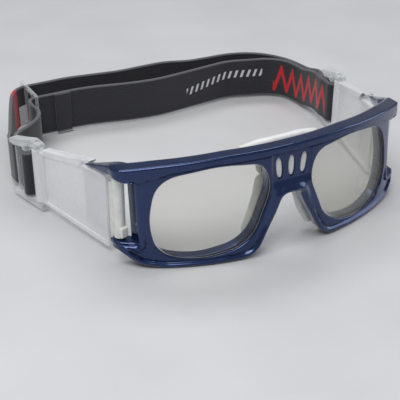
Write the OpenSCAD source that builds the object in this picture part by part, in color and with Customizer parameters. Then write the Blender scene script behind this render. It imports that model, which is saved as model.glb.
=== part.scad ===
// Sports protective goggles: wrap-around frame, two lenses, silicone nose cushion, two hinged arms,
// clear strap buckles and a doubled elastic strap with a sliding adjuster.
// Front faces -Y, the wearer's left is +X, and the goggles stand on z = 0.

/* [Frame] */
// Radius of the wrap-around front face of the rims
front_r = 134; // [130:1:140]
// How much further forward the face stands for each millimetre lower down
face_lean = 0.075; // [0.06:0.005:0.08]
// How far the brow bar stands proud of the rims
brow_proud = 1.8; // [1.6:0.2:2.2]
// Depth of the rims from front to back
rim_depth = 8; // [7:0.5:8.5]
// Height of the brow bar's top edge at the bridge
brow_top = 52.4; // [52:0.2:53]
// Height of the top of the nose arch
arch_top = 28; // [27:0.2:28.6]
// Spacing of the three bridge slots
slot_pitch = 6.3; // [6:0.1:6.6]
// Width of one bridge slot
slot_w = 3.3; // [3:0.1:3.6]
// Height of one bridge slot
slot_h = 10.2; // [9.6:0.2:10.6]
// Distance of the ends of the brow bar from the middle
end_x = 75.8; // [75:0.2:76.2]
// Radius by which the front of each end rolls back round the hinge
end_roll = 6.5; // [5:0.5:7]

/* [Lenses] */
// Distance of the lenses behind the front of the rims
lens_set = 1.1; // [1:0.1:2]
// Thickness of a lens
lens_t = 1.8; // [1.6:0.1:2.2]
// How far a lens reaches into the groove round its opening
lens_lap = 1.4; // [1:0.1:1.6]

/* [Arms] */
// Distance of each hinge axis from the middle of the frame
hinge_x = 71.5; // [71:0.5:72]
// Distance of the hinge axes behind the front of the bridge
hinge_y = 26.5; // [26:0.5:27]
// Outward splay of the open arms
splay = 14.7; // [12:0.1:16]
// Distance from the hinge axis to the front edge of the arm shell
arm_front = 7.5; // [7.3:0.1:8]
// Distance from the hinge axis to the buckle pin
arm_len = 60; // [59:0.5:61]
// Radius of the hinge pin
pin_r = 1.0; // [0.9:0.05:1.1]

/* [Buckles] */
// Distance from the buckle pin to the bar that holds the webbing
bar_near = 9.4; // [9.2:0.1:9.6]
// Distance from the buckle pin to the rear bar
bar_far = 18; // [17.8:0.1:18.2]
// Radius of the bar that holds the webbing
bar_near_r = 1.5; // [1.3:0.05:1.55]
// Radius of the rear bar
bar_far_r = 1.1; // [0.9:0.05:1.15]

/* [Strap] */
// Height of the elastic webbing
strap_h = 23.4; // [22:0.2:23.6]
// Thickness of the elastic webbing
strap_t = 1.5; // [1.2:0.1:1.6]
// Height of the lower edge of the webbing above the table
strap_z = 1.4; // [1.4:0.1:1.6]
// Height of the lower edge of the webbing in the buckles
turn_z = 5; // [4.8:0.1:5.2]
// Distance of the slider from the middle
slider_x = 61; // [60:0.2:61.4]
// Thickness of the slider
slider_t = 2.4; // [2:0.2:2.6]

/* [Hidden] */

$fn = 96;

blue = [0.10, 0.18, 0.42];
milky = [0.88, 0.89, 0.87];
clear = [0.80, 0.84, 0.85, 0.5];
webbing = [0.09, 0.09, 0.11];
steel = [0.62, 0.63, 0.65];

brow_r = front_r + brow_proud;         // outer radius of the brow bar
back_r = front_r - rim_depth;          // inner radius of the rims
lens_r = front_r - lens_set;           // outer radius of the lenses
slot_z = 41;                           // height of the bridge slots, where the radii are measured
front_y = -1.7;                        // foremost point of the whole object
back_y = 184.2;                        // rearmost point of the whole object
outer_y = 179;                         // where the outer run passes the slider
inner_y = 161;                         // where the inner run passes the slider
y_mid = (front_y + back_y) / 2;
run_gap = 0.07;                        // radial clearance of a turning pin
seat_gap = 0.02;                       // radial clearance of a fixed pin
tall = 200;                            // longer than any cut

// Corners of the half face from the top middle round to the nose arch, each [x, z, corner radius]
face_corners = [
    [0, brow_top, 0], [30, brow_top - 0.4, 60], [58, brow_top - 2.8, 60], [end_x, brow_top - 5.2, 1.5],
    [end_x, 42.3, 1.5], [67.2, 42.3, 1.8], [67.2, 11, 1.8], [end_x, 11, 1.5], [end_x, 9, 1.5],
    [68, 1.8, 12], [57, 0, 10], [36, 0, 8], [18.6, 0.9, 7], [8.4, 20, 12], [4.8, arch_top, 3.4],
    [0, arch_top, 0]];

// Corners of a lens opening, each [x, z, corner radius]
eye_corners = [
    [13.6, 45.1, 9.6], [33.9, 46.9, 55], [59.3, 42.5, 16], [63.5, 21.5, 60], [59.9, 6.4, 12],
    [43.2, 2.7, 76], [19.9, 7.5, 20], [9.5, 33.6, 27]];

// Middle line of the webbing, from the right buckle round the head to the left buckle
outer_route = [[93, 112], [93.8, 119], [93.6, 130], [91.2, 143], [85, 155], [76, 163], [64, 167.5],
    [50, 168.5], [38, 169.5], [24, 174], [10, 174.5], [-6, 174.5], [-22, 177], [-36, outer_y], [-50, outer_y],
    [-58, outer_y], [-62.5, outer_y - 0.3], [-67.5, 175.8], [-71, 171], [-73.6, 165], [-78.6, 152],
    [-83.8, 138], [-88.3, 126.5], [-91.6, 119.5], [-93, 114]];
inner_route = [[89.6, 113], [90.5, 121], [90.8, 131], [88.6, 142], [81, 149.5], [70, 153.5], [57, 157],
    [42, 156], [24, 154], [9, 153], [-7, 155], [-24, 159], [-37, inner_y], [-49, inner_y], [-60, inner_y],
    [-63.6, 160.3], [-65.6, 157.5], [-66, 152], [-65.2, 146], [-66.8, 139.5], [-70.5, 134.2],
    [-77.4, 128.2], [-83.5, 123.7], [-86.8, 119], [-88.6, 113]];

// Middle line of the webbing through a buckle, across and along from its pin: in along the inside, round
// the near bar and out again between the first leg and the rear bar
turn_r = bar_near_r + 0.1 + strap_t / 2;
leg_x = -(bar_far_r + 0.15 + strap_t / 2);
turn_route = concat(
    [[leg_x - strap_t - 0.4, 23.4], [leg_x - strap_t - 0.25, 20.5], [leg_x - strap_t - 0.15, 18],
        [-3.1, 15], [-2.6, 12]],
    [for (a = [180 : 16 : 388]) [turn_r * cos(a), bar_near + turn_r * sin(a)]],
    [[0.9, 12.7], [-0.3, 14.8], [-1.4, 16.5], [leg_x, 18.2], [leg_x + 0.1, 20.5], [leg_x + 0.7, 23.4]]);

// ---------- outlines ----------

function unit(v) = v / norm(v);
function turned(v) = [v[1], -v[0]];
function xy(p) = [p[0], p[1]];

// Moves every edge of a clockwise outline outwards by g
function grown(c, g) = [for (i = [0 : len(c) - 1])
    let (a = xy(c[(i + len(c) - 1) % len(c)]), b = xy(c[i]), d = xy(c[(i + 1) % len(c)]),
        n = -turned(unit(b - a)), m = -turned(unit(d - b)), q = b + g * (n + m) / (1 + n * m))
    [q[0], q[1], c[i][2] + g]];

// Points of one rounded corner at b between neighbours a and d
function corner(a, b, d, r, n) =
    let (u = unit(a - b), v = unit(d - b), half = acos(max(-1, min(1, u * v))) / 2,
        reach = min(r / tan(half), 0.48 * norm(a - b), 0.48 * norm(d - b)), s = b + u * reach, e = b + v * reach)
    r < 0.05 ? [b] : [for (k = [0 : n]) let (t = k / n) (1 - t) * (1 - t) * s + 2 * t * (1 - t) * b + t * t * e];

function rounded(c, n = 6) = [for (i = [0 : len(c) - 1])
    each corner(xy(c[(i + len(c) - 1) % len(c)]), xy(c[i]), xy(c[(i + 1) % len(c)]), c[i][2], n)];

// Smooth curve through the points of a route
function route_point(p, i) = p[max(0, min(len(p) - 1, i))];
function smooth(p, n = 4) = [for (i = [0 : len(p) - 2]) for (k = [0 : n - 1])
    let (t = k / n, a = route_point(p, i - 1), b = p[i], c = p[i + 1], d = route_point(p, i + 2))
    0.5 * (2 * b + (c - a) * t + (2 * a - 5 * b + 4 * c - d) * t * t + (3 * b - a - 3 * c + d) * t * t * t),
    p[len(p) - 1]];

function side(p, w) = [for (i = [0 : len(p) - 1])
    p[i] + w * turned(unit(route_point(p, i + 1) - route_point(p, i - 1)))];

function reversed(p) = [for (i = [len(p) - 1 : -1 : 0]) p[i]];

module ribbon(p, t) { polygon(concat(side(p, t / 2), reversed(side(p, -t / 2)))); }

// ---------- placing ----------

// Moves the object so that its bounding box is centred on the origin
module placed() { translate([0, -y_mid, 0]) children(); }

// Stands an outline drawn in x and z upright and gives it depth from y0 to y1
module upright(y0, y1) { translate([0, y1, 0]) rotate([90, 0, 0]) linear_extrude(y1 - y0) children(); }

// Space between two leaning cones round the wrap axis, their radii given at the height of the slots
module wrap(r_out, r_in) {
    low = -2;
    high = 60;
    grow = face_lean * (slot_z - low);
    shrink = face_lean * (high - slot_z);
    translate([0, front_r, low]) difference() {
        cylinder(r1 = r_out + grow, r2 = r_out - shrink, h = high - low, $fn = 360);
        cylinder(r1 = r_in + grow, r2 = r_in - shrink, h = high - low, $fn = 360);
    }
}

// Cuts the front corner off an end of the frame between two heights, so that it rolls back round the hinge
module roll_cut(low, high, r_front) {
    c = [end_x - end_roll, front_r - sqrt(pow(r_front - end_roll, 2) - pow(end_x - end_roll, 2))];
    n = unit([c[0], c[1] - front_r]);
    translate([0, 0, low]) linear_extrude(high - low) difference() {
        polygon([c, c + [16, 0], c + [16, -16], c + 20 * n]);
        translate(c) circle(end_roll);
    }
}

module both_sides() { children(); mirror([1, 0, 0]) children(); }

module on_side(s) { if (s > 0) children(); else mirror([1, 0, 0]) children(); }

// Local frame of an arm: origin on the hinge axis, +Y along the open arm, +X outwards
module on_arm(s) { on_side(s) translate([hinge_x, hinge_y, 0]) rotate([0, 0, -splay]) children(); }

// Stands an outline drawn along the arm and upwards on edge, from x0 to x1 across the arm
module on_edge(x0, x1) { translate([x0, 0, 0]) rotate([90, 0, 90]) linear_extrude(x1 - x0) children(); }

// ---------- frame ----------

module eye(grow = 0) { polygon(rounded(grown(eye_corners, grow))); }

module slot(x, w, h) {
    lean = 8 * sign(x);
    translate([x, slot_z]) rotate(-lean) {
        square([w, h - w], center = true);
        for (e = [-1, 1]) translate([0, e * (h - w) / 2]) circle(w / 2, $fn = 32);
    }
}

// Everything below the lower edge of the brow bar
module below_brow() {
    polygon([[0, 48.8], [36, 48.4], [54, 46], [67, 41.6], [90, 40.8], [90, -9], [0, -9]]);
}

// Lug that holds one end of the hinge pin, reaching back from the end of the rim
module ear(z, h) {
    translate([0, 0, z]) linear_extrude(h) {
        polygon([[64, 16], [73, 18.4], [74.8, 21], [75.1, hinge_y], [68, hinge_y + 1], [64.5, 22]]);
        translate([hinge_x, hinge_y]) circle(3.6, $fn = 64);
    }
}

// Pointed tail of the brow bar that runs back into the notch at the top of the arm
module tail() {
    on_arm(1) on_edge(-2, 1.2)
        polygon([[-4, 42.6], [6, 41.6], [12, 40.6], [16, 40], [20, 39.5], [20.2, 39.8], [13, 41.9], [8, 43.4],
            [4, 44.6], [-4, 45.6]]);
}

module front_frame() {
    color(blue) placed() difference() {
        union() {
            difference() {
                intersection() {
                    wrap(brow_r, back_r);
                    upright(-10, 40) both_sides() polygon(rounded(face_corners));
                }
                intersection() {
                    wrap(brow_r + 2, front_r);
                    upright(-12, 42) both_sides() below_brow();
                }
            }
            both_sides() {
                ear(42.6, 2.6);
                ear(7.2, 4.2);
                tail();
            }
        }
        both_sides() {
            upright(-12, 60) eye();
            intersection() {
                wrap(lens_r + 0.1, lens_r - lens_t - 0.1);
                upright(-12, 60) eye(lens_lap + 0.1);
            }
            translate([hinge_x, hinge_y, 5]) cylinder(r = pin_r + seat_gap, h = 39.6);
            translate([hinge_x, hinge_y, 5]) cylinder(r = 2.1, h = 3.4);
            roll_cut(40, 60, brow_r + face_lean * (slot_z - 47));
            roll_cut(-1, 14, front_r + face_lean * (slot_z - 9));
        }
        upright(-12, 60) for (i = [-1 : 1]) slot(i * slot_pitch, slot_w, slot_h);
    }
}

module lens(s) {
    color(clear) placed() on_side(s) intersection() {
        wrap(lens_r, lens_r - lens_t);
        upright(-12, 60) eye(lens_lap);
    }
}

module right_lens() { lens(1); }
module left_lens() { lens(-1); }

// One-piece silicone cushion: brow pad, two nose wings and three plugs for the bridge slots
module nose_cushion() {
    pad_r = back_r - 0.1;
    pad_t = 4;
    wing = [[3, 33, 2], [7.5, 36, 3], [12, 33, 4], [13.6, 24, 10], [19.2, 8, 4], [18, 4, 3],
        [14, 5, 4], [9.8, 12, 8], [6.8, 22, 6]];
    brow_pad = [[0, 51.6, 0], [12, 51.3, 20], [20.4, 49.6, 2.5], [20.4, 47, 2], [13, 46.6, 4], [12, 36, 2],
        [6, 33, 4], [0, 33, 0]];
    color(milky) placed() {
        intersection() {
            wrap(pad_r, pad_r - pad_t);
            upright(-10, 40) both_sides() { polygon(rounded(brow_pad)); polygon(rounded(wing)); }
        }
        intersection() {
            wrap(front_r - 0.4, pad_r - 1);
            upright(-10, 20) for (i = [-1 : 1]) slot(i * slot_pitch, slot_w - 0.2, slot_h - 0.2);
        }
    }
}

// ---------- hinges and arms ----------

module hinge_pin(s) {
    color(steel) placed() on_arm(s) {
        translate([0, 0, 7.4]) cylinder(r = pin_r, h = 37);
        difference() {
            translate([0, 0, 7.2]) cylinder(r = 2, h = 1.1);
            translate([0, 0, 7.2]) cube([0.6, 5, 0.9], center = true);
        }
    }
}

module right_hinge_pin() { hinge_pin(1); }
module left_hinge_pin() { hinge_pin(-1); }

// Hard insert: knuckle round the hinge pin and a windowed plate that sits inside the arm shell
module hinge_tongue(s) {
    z0 = 11.8;
    z1 = 41.6;
    color(milky) placed() on_arm(s) difference() {
        union() {
            translate([0, 0, z0]) cylinder(r = 2.7, h = z1 - z0);
            translate([-2, 0, z0]) cube([2, 4, z1 - z0 - 4]);
            on_edge(-2, -0.4) polygon([[2, 12.2], [4.4, 12], [6, 8.2], [25, 9.2], [25, 35.3], [5, 36.3], [2, 37]]);
            translate([-1.6, -3.8, z0 + 0.8]) cube([3.6, 3.4, 5.2]);
        }
        for (w = [[10.5, 12.4], [10.5, 24.6]]) translate([-5, w[0], w[1]]) cube([6, 11, 9]);
        translate([0, 0, z0 - 1]) cylinder(r = pin_r + run_gap, h = tall);
    }
}

module right_hinge_tongue() { hinge_tongue(1); }
module left_hinge_tongue() { hinge_tongue(-1); }

// Soft translucent arm with a raised border, a pocket for the tongue and a barrel at the rear
module arm_shell(s) {
    top = [[13.8, 42.5, 0.4], [13.2, 43.6, 0.4], [arm_len - 4.5, 34.2, 1.5]];
    outline = concat([[arm_front, 2.6, 1.5], [arm_front, 39.8, 4], [16, 39.1, 6], [21, 38.6, 0.4],
        [21.4, 39.9, 0.4]], top,
        [[arm_len - 4.5, 4.2, 1]]);
    panel = [[arm_front + 2, 5, 1], [arm_front + 2, 36, 4], [23, 36.6, 3], [arm_len - 6, 31.6, 2],
        [arm_len - 6, 6.4, 1]];
    color(milky) placed() on_arm(s) difference() {
        union() {
            on_edge(-3.2, 1.1) polygon(rounded(outline));
            translate([-1.6, arm_len - 6, 5]) cube([3.2, 6, 28]);
            translate([0, arm_len, 5]) cylinder(r = 3, h = 28);
        }
        on_edge(0.6, 2) polygon(rounded(panel));
        on_edge(-4, -2.7) polygon(rounded(panel));
        on_edge(-2.1, -0.3) polygon([[5, 7.9], [25.2, 8.9], [25.2, 35.6], [5, 36.6]]);
        translate([0, arm_len, 0]) cylinder(r = 1.2 + run_gap, h = 60);
    }
}

module right_arm_shell() { arm_shell(1); }
module left_arm_shell() { arm_shell(-1); }

// ---------- buckles ----------

module buckle_pin(s) {
    color(clear) placed() on_arm(s) translate([0, arm_len, 1.2]) cylinder(r = 1.2, h = 35);
}

module right_buckle_pin() { buckle_pin(1); }
module left_buckle_pin() { buckle_pin(-1); }

// Clear ladder buckle: two lugs round the pin, two rails and two upright bars
module buckle(s) {
    half = 2.4;
    color(clear) placed() on_arm(s) translate([0, arm_len, 0]) difference() {
        union() {
            on_edge(-half, half)
                polygon(rounded([[-3.4, 33.3, 0.6], [-3.2, 36, 4], [3, 37, 3], [21.6, 31.8, 2], [21.6, 29, 1],
                    [5, 29, 1], [5, 33.3, 0.5]]));
            on_edge(-half, half)
                polygon(rounded([[-3.4, 1, 1], [-3.4, 4.6, 0.5], [22.4, 4.6, 1], [22.4, 2, 1], [16, 1, 1]]));
            for (b = [[bar_near, bar_near_r], [bar_far, bar_far_r]]) translate([0, b[0], 2])
                cylinder(r = b[1], h = 30, $fn = 48);
            for (y = [bar_near, bar_far]) translate([0, y, 30.2]) sphere(r = 2.4, $fn = 48);
        }
        translate([0, 0, -1]) cylinder(r = 1.2 + seat_gap, h = 60);
    }
}

module right_buckle() { buckle(1); }
module left_buckle() { buckle(-1); }

// ---------- strap ----------

// Turn of the webbing round the near bar of a buckle
module strap_loop(s) {
    color(webbing) placed() on_arm(s) translate([0, arm_len, turn_z]) linear_extrude(strap_h)
        ribbon(turn_route, strap_t);
}

module right_strap_loop() { strap_loop(1); }
module left_strap_loop() { strap_loop(-1); }

module webbing_run(route) {
    color(webbing) placed() translate([0, 0, strap_z]) linear_extrude(strap_h) ribbon(smooth(route), strap_t);
}

module strap_outer_run() { webbing_run(outer_route); }
module strap_inner_run() { webbing_run(inner_route); }

// Folded end of the webbing, sewn to the inside of the inner run
module strap_sewn_end() {
    t = strap_t - 0.3;
    color(webbing) placed() translate([-50.5, inner_y - strap_t / 2 - t - 0.1, strap_z])
        cube([9, t, strap_h]);
}

// Clear slider with a slot for each run of the webbing and a window between them
module strap_slider() {
    y0 = inner_y - 3;
    slot_y = strap_t + 1.1;
    play = 0.2;
    foot = 1.6;
    color(clear) placed() translate([-slider_x - slider_t / 2, y0, 0]) difference() {
        cube([slider_t, back_y - y0, strap_z + strap_h + foot]);
        for (y = [inner_y, outer_y]) translate([-1, y - y0 - slot_y / 2, strap_z - play])
            cube([slider_t + 2, slot_y, strap_h + 2 * play]);
        translate([-1, 7.5, 4]) cube([slider_t + 2, outer_y - inner_y - 7.5, strap_h - 3.4]);
    }
}

front_frame();
right_lens();
left_lens();
nose_cushion();
right_hinge_pin();
left_hinge_pin();
right_hinge_tongue();
left_hinge_tongue();
right_arm_shell();
left_arm_shell();
right_buckle_pin();
left_buckle_pin();
right_buckle();
left_buckle();
right_strap_loop();
left_strap_loop();
strap_outer_run();
strap_inner_run();
strap_sewn_end();
strap_slider();
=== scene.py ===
"""Sports protective goggles: the looks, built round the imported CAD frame.

Inside the shape functions lengths are millimetres in the design's own axes: x = 0 is the symmetry plane,
y = 0 the face at the height of the bridge slots and z = 0 the table. place() turns them into metres in the
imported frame, whose origin is the middle of the footprint. An arm has axes of its own: x outwards from the
hinge axis, y back along the open arm, z up.
"""
from math import acos, cos, pi, radians, sin, sqrt, tan

import bmesh
import bpy
import numpy as np
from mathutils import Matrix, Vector


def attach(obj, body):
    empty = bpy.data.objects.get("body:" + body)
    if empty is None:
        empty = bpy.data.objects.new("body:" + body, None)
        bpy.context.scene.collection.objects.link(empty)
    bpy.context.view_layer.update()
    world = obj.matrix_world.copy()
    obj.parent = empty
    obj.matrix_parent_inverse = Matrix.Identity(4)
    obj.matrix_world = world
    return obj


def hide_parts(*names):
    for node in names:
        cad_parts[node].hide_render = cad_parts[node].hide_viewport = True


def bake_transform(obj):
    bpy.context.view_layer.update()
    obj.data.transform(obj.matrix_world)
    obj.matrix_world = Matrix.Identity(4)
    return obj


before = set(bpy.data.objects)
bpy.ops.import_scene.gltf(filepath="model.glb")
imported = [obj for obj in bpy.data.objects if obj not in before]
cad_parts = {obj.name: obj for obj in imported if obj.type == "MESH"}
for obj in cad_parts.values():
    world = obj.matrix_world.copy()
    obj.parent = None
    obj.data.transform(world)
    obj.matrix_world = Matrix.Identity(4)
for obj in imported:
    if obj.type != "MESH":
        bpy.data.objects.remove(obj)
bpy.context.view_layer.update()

scene = bpy.context.scene

# ---------- sizes, in millimetres ----------

MM = 0.001
SIDES = {1: "right", -1: "left"}
FRONT_Y, BACK_Y = -1.7, 184.2
OUTER_Y, INNER_Y = 179, 161     # where the two runs of webbing pass the slider
Y_MID = (FRONT_Y + BACK_Y) / 2

FRONT_R = 134            # outer radius of the rims at the height of the slots
FACE_LEAN = 0.075        # growth of that radius for each millimetre lower down
BROW_PROUD = 1.8
RIM_DEPTH = 8
BROW_TOP = 52.4
ARCH_TOP = 28
SLOT_Z, SLOT_PITCH, SLOT_W, SLOT_H = 41, 6.3, 3.3, 10.2
# Ends of the brow bar, and the radius by which they roll back round the hinges
END_X, END_ROLL = 75.2, 8
LENS_T, LENS_LAP, LENS_SET = 1.8, 1.4, 1.1

HINGE_X, HINGE_Y = 71.5, 26.5
SPLAY = radians(14.7)
ARM_FRONT, ARM_LEN = 7.5, 60
PIN_R, BUCKLE_PIN_R = 1.0, 1.2
PIN_GAP = 0.07           # clearance round a pin in the hinge insert and in the arm
BAR_NEAR, BAR_FAR = 9.4, 18
BAR_NEAR_R, BAR_FAR_R = 1.5, 1.1

STRAP_H, STRAP_T, STRAP_Z, TURN_Z = 23.4, 1.5, 1.4, 5

# Corners of the half face from the top middle round to the nose arch, each (x, z, corner radius)
FACE_CORNERS = [
    (0, BROW_TOP, 0), (30, BROW_TOP - 0.4, 60), (58, BROW_TOP - 2.8, 60), (END_X, BROW_TOP - 5.2, 3),
    (END_X, 42.3, 2.4), (67.2, 42.3, 1.8), (67.2, 11, 1.8), (END_X, 11, 1.5), (END_X, 9, 1.5),
    (68, 1.8, 12), (57, 0, 10), (36, 0, 10), (18, 0.9, 12), (7.8, 20, 12), (4.4, ARCH_TOP, 3.6),
    (0, ARCH_TOP, 0)]

# Corners of a lens opening, each (x, z, corner radius)
EYE_CORNERS = [
    (13.6, 45.1, 9.6), (33.9, 46.9, 55), (59.3, 42.5, 16), (63.5, 21.5, 60), (59.9, 6.4, 12),
    (43.2, 2.7, 76), (19.9, 7.5, 20), (9.5, 33.6, 27)]

# Places on the edge of the opening, and the places on the outline that they stretch to
RIM_STATIONS = [
    ((14.8, 42.9), (0, BROW_TOP)), ((20, 45.2), (18, 52.2)), ((38, 45.8), (38, 51.4)),
    ((52, 43.6), (57, 49.7)), ((56.6, 41.8), (74.8, 47.5)), ((58.9, 39.4), (75.6, 42.6)),
    ((60.3, 36.6), (67.8, 42.2)), ((61, 33.4), (67.2, 38)), ((61.8, 24), (67.2, 24)),
    ((60.9, 14), (67.2, 14)), ((60, 11.4), (67.7, 11.1)), ((58.8, 9.2), (75.4, 10.8)),
    ((57.4, 7.6), (75.7, 8.8)), ((53.6, 5.6), (66, 1.5)), ((42, 3.7), (44, 0)), ((26.4, 6), (22.4, 0.7)),
    ((21.4, 9.2), (16.6, 5)), ((17.2, 16.6), (10.1, 15.8)), ((14.4, 23.2), (7, 21.8)),
    ((12.9, 28), (5.1, 27.3)), ((12.3, 31), (0, ARCH_TOP)), ((12.4, 38), (0, 41))]

# Middle line of the webbing seen from above, from the right buckle round the head to the left buckle
OUTER_ROUTE = [
    (93, 112), (93.8, 119), (93.6, 130), (91.2, 143), (85, 155), (76, 163), (64, 167.5), (50, 168.5),
    (38, 169.5), (24, 174), (10, 174.5), (-6, 174.5), (-22, 177), (-36, OUTER_Y), (-50, OUTER_Y),
    (-58, OUTER_Y), (-62.5, OUTER_Y - 0.3), (-67.5, 175.8), (-71, 171), (-73.6, 165), (-78.4, 152),
    (-83.2, 138), (-87.2, 126.5), (-90, 119.5), (-91.3, 114)]
INNER_ROUTE = [
    (89.6, 113), (90.5, 121), (90.8, 131), (88.6, 142), (81, 149.5), (70, 153.5), (57, 157), (42, 156),
    (24, 154), (9, 153), (-7, 155), (-24, 159), (-37, INNER_Y), (-49, INNER_Y), (-60, INNER_Y),
    (-63.6, 160.3), (-65.6, 157.5), (-66, 152), (-65.2, 146), (-66.8, 139.5), (-70.5, 134.2), (-77, 128.2),
    (-83, 123.5), (-86.4, 119), (-88.3, 113)]


# ---------- outlines ----------

def place(points):
    return (np.asarray(points, float) - (0, Y_MID, 0)) * MM


def rounded(corners, steps=8):
    """Points of a closed outline whose corners, each (u, v, radius), are rounded."""
    points = []
    for i, (u, v, radius) in enumerate(corners):
        before, here = np.array(corners[i - 1][:2], float), np.array((u, v), float)
        after = np.array(corners[(i + 1) % len(corners)][:2], float)
        if radius < 0.05:
            points.append(here)
            continue
        to_before, to_after = before - here, after - here
        len_before, len_after = np.linalg.norm(to_before), np.linalg.norm(to_after)
        to_before, to_after = to_before / len_before, to_after / len_after
        half = acos(np.clip(to_before @ to_after, -1, 1)) / 2
        reach = min(radius / tan(half), 0.48 * len_before, 0.48 * len_after)
        start, end = here + to_before * reach, here + to_after * reach
        for t in np.linspace(0, 1, steps + 1):
            points.append((1 - t) ** 2 * start + 2 * t * (1 - t) * here + t * t * end)
    return np.array(points)


def rectangle(u0, v0, u1, v1, radius, steps):
    return rounded([(u0, v0, radius), (u1, v0, radius), (u1, v1, radius), (u0, v1, radius)], steps)


def smoothed(route, steps=6):
    """A smooth curve through the points of a route."""
    p = np.array(route, float)
    points = []
    for i in range(len(p) - 1):
        a, b, c, d = p[max(i - 1, 0)], p[i], p[i + 1], p[min(i + 2, len(p) - 1)]
        for t in np.arange(steps) / steps:
            points.append(0.5 * (2 * b + (c - a) * t + (2 * a - 5 * b + 4 * c - d) * t ** 2
                                 + (3 * b - a - 3 * c + d) * t ** 3))
    return np.array(points + [p[-1]])


def lengths_along(points):
    return np.concatenate(([0], np.cumsum(np.linalg.norm(np.diff(points, axis=0), axis=1))))


def at_lengths(points, lengths):
    along = lengths_along(points)
    return np.column_stack([np.interp(lengths, along, points[:, k]) for k in range(points.shape[1])])


def resampled(points, step):
    total = lengths_along(points)[-1]
    return at_lengths(points, np.linspace(0, total, max(2, round(total / step) + 1)))


def ease(x, low, high):
    """0 below low, 1 above high, and a smooth rise between; low may be the larger one."""
    t = np.clip((np.asarray(x, float) - low) / (high - low), 0, 1)
    return t * t * (3 - 2 * t)


def bump(x, middle, width):
    return np.exp(-((np.asarray(x, float) - middle) / width) ** 2)


def to_line(points, line):
    """Distance of each point from an open polyline."""
    best = np.full(len(points), 1e9)
    for a, b in zip(line[:-1], line[1:]):
        d = b - a
        t = np.clip(((points - a) @ d) / max(d @ d, 1e-12), 0, 1)
        best = np.minimum(best, np.linalg.norm(points - a - t[:, None] * d, axis=1))
    return best


def closed(outline):
    return np.vstack((outline, outline[:1]))


def anticlockwise(outline):
    u, v = outline.T
    area = np.sum(u * np.roll(v, -1) - v * np.roll(u, -1))
    return outline if area > 0 else outline[::-1]


def inset(outline, distance):
    """An anticlockwise outline moved inwards by a distance."""
    edges = np.roll(outline, -1, axis=0) - outline
    edges /= np.linalg.norm(edges, axis=1)[:, None] + 1e-12
    normals = np.column_stack((-edges[:, 1], edges[:, 0]))
    both = normals + np.roll(normals, 1, axis=0)
    both /= np.maximum(1 + np.sum(normals * np.roll(normals, 1, axis=0), axis=1), 0.4)[:, None]
    return outline + both * distance


# ---------- meshes ----------

def linked(name, data):
    """A new object in the scene that holds a mesh, a light or a camera."""
    obj = bpy.data.objects.new(name, data)
    scene.collection.objects.link(obj)
    return obj


def make(name, points, faces, smooth=38):
    """A mesh object from points in millimetres in the design's axes."""
    mesh = bpy.data.meshes.new(name)
    mesh.from_pydata(place(points).tolist(), [], [list(map(int, f)) for f in faces])
    obj = linked(name, mesh)
    cleaned(obj)
    shade(obj, smooth)
    return obj


def cleaned(obj, merge=1e-7):
    work = bmesh.new()
    work.from_mesh(obj.data)
    bmesh.ops.remove_doubles(work, verts=work.verts, dist=merge)
    bmesh.ops.dissolve_degenerate(work, edges=work.edges, dist=merge)
    loose = [v for v in work.verts if not v.link_faces]
    bmesh.ops.delete(work, geom=loose, context="VERTS")
    bmesh.ops.recalc_face_normals(work, faces=work.faces)
    work.to_mesh(obj.data)
    work.free()


def shade(obj, angle):
    obj.data.shade_smooth()
    obj.data.set_sharp_from_angle(angle=radians(angle))


def applied(obj):
    """Turns the object's modifiers into its mesh."""
    evaluated = obj.evaluated_get(bpy.context.evaluated_depsgraph_get())
    mesh = bpy.data.meshes.new_from_object(evaluated)
    obj.modifiers.clear()
    obj.data = mesh
    return obj


def combined(obj, tools, operation="DIFFERENCE"):
    """obj with the tools cut out of it, or joined to it; the tools go."""
    for tool in tools:
        modifier = obj.modifiers.new("combine", "BOOLEAN")
        modifier.operation = operation
        modifier.solver = "MANIFOLD"
        modifier.object = tool
        applied(obj)
        bpy.data.objects.remove(tool)
    return obj


def evened(obj):
    """Large flat faces keep flat shading beside small bent ones."""
    obj.modifiers.new("even", "WEIGHTED_NORMAL").keep_sharp = True
    return applied(obj)


def softened(obj, width, segments=2, angle=38):
    """Rounds the object's sharp edges."""
    cleaned(obj, merge=2e-6)
    modifier = obj.modifiers.new("soften", "BEVEL")
    modifier.width = width * MM
    modifier.segments = segments
    modifier.limit_method = "ANGLE"
    modifier.angle_limit = radians(angle)
    modifier.use_clamp_overlap = True
    applied(obj)
    shade(obj, angle)
    return evened(obj)


def grid_faces(rows, columns, close_rows=False, close_columns=False):
    faces = []
    for i in range(rows if close_rows else rows - 1):
        for j in range(columns if close_columns else columns - 1):
            a, b = i * columns + j, i * columns + (j + 1) % columns
            c, d = ((i + 1) % rows) * columns + (j + 1) % columns, ((i + 1) % rows) * columns + j
            faces.append((a, b, c, d))
    return faces


def lofted(rings):
    """Points and faces of a closed body through rings that have the same number of points."""
    count = len(rings[0])
    faces = grid_faces(len(rings), count, close_columns=True)
    faces.append(list(range(count))[::-1])
    faces.append([(len(rings) - 1) * count + k for k in range(count)])
    return np.vstack(rings), faces


def slab(outline, low, high, edge=0.5, steps=3):
    """A plate with rounded edges: the outline lies in u and v, and the plate reaches from w = low to high."""
    outline = anticlockwise(np.asarray(outline, float))
    levels = []
    for k in range(steps + 1):
        turn = pi / 2 * k / steps
        levels.append((low + edge * (1 - cos(turn)), edge * (1 - sin(turn))))
    levels += [(high + low - w, d) for w, d in reversed(levels)]
    rings = [np.column_stack((inset(outline, d), np.full(len(outline), w))) for w, d in levels]
    return lofted(rings)


def turned(profile, centre, sides=40):
    """A body of revolution about a vertical axis: the profile is a list of (radius, z)."""
    turn = np.arange(sides) / sides * 2 * pi
    rings = [np.column_stack((centre[0] + r * np.cos(turn), centre[1] + r * np.sin(turn), np.full(sides, z)))
             for r, z in profile]
    return lofted(rings)


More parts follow.
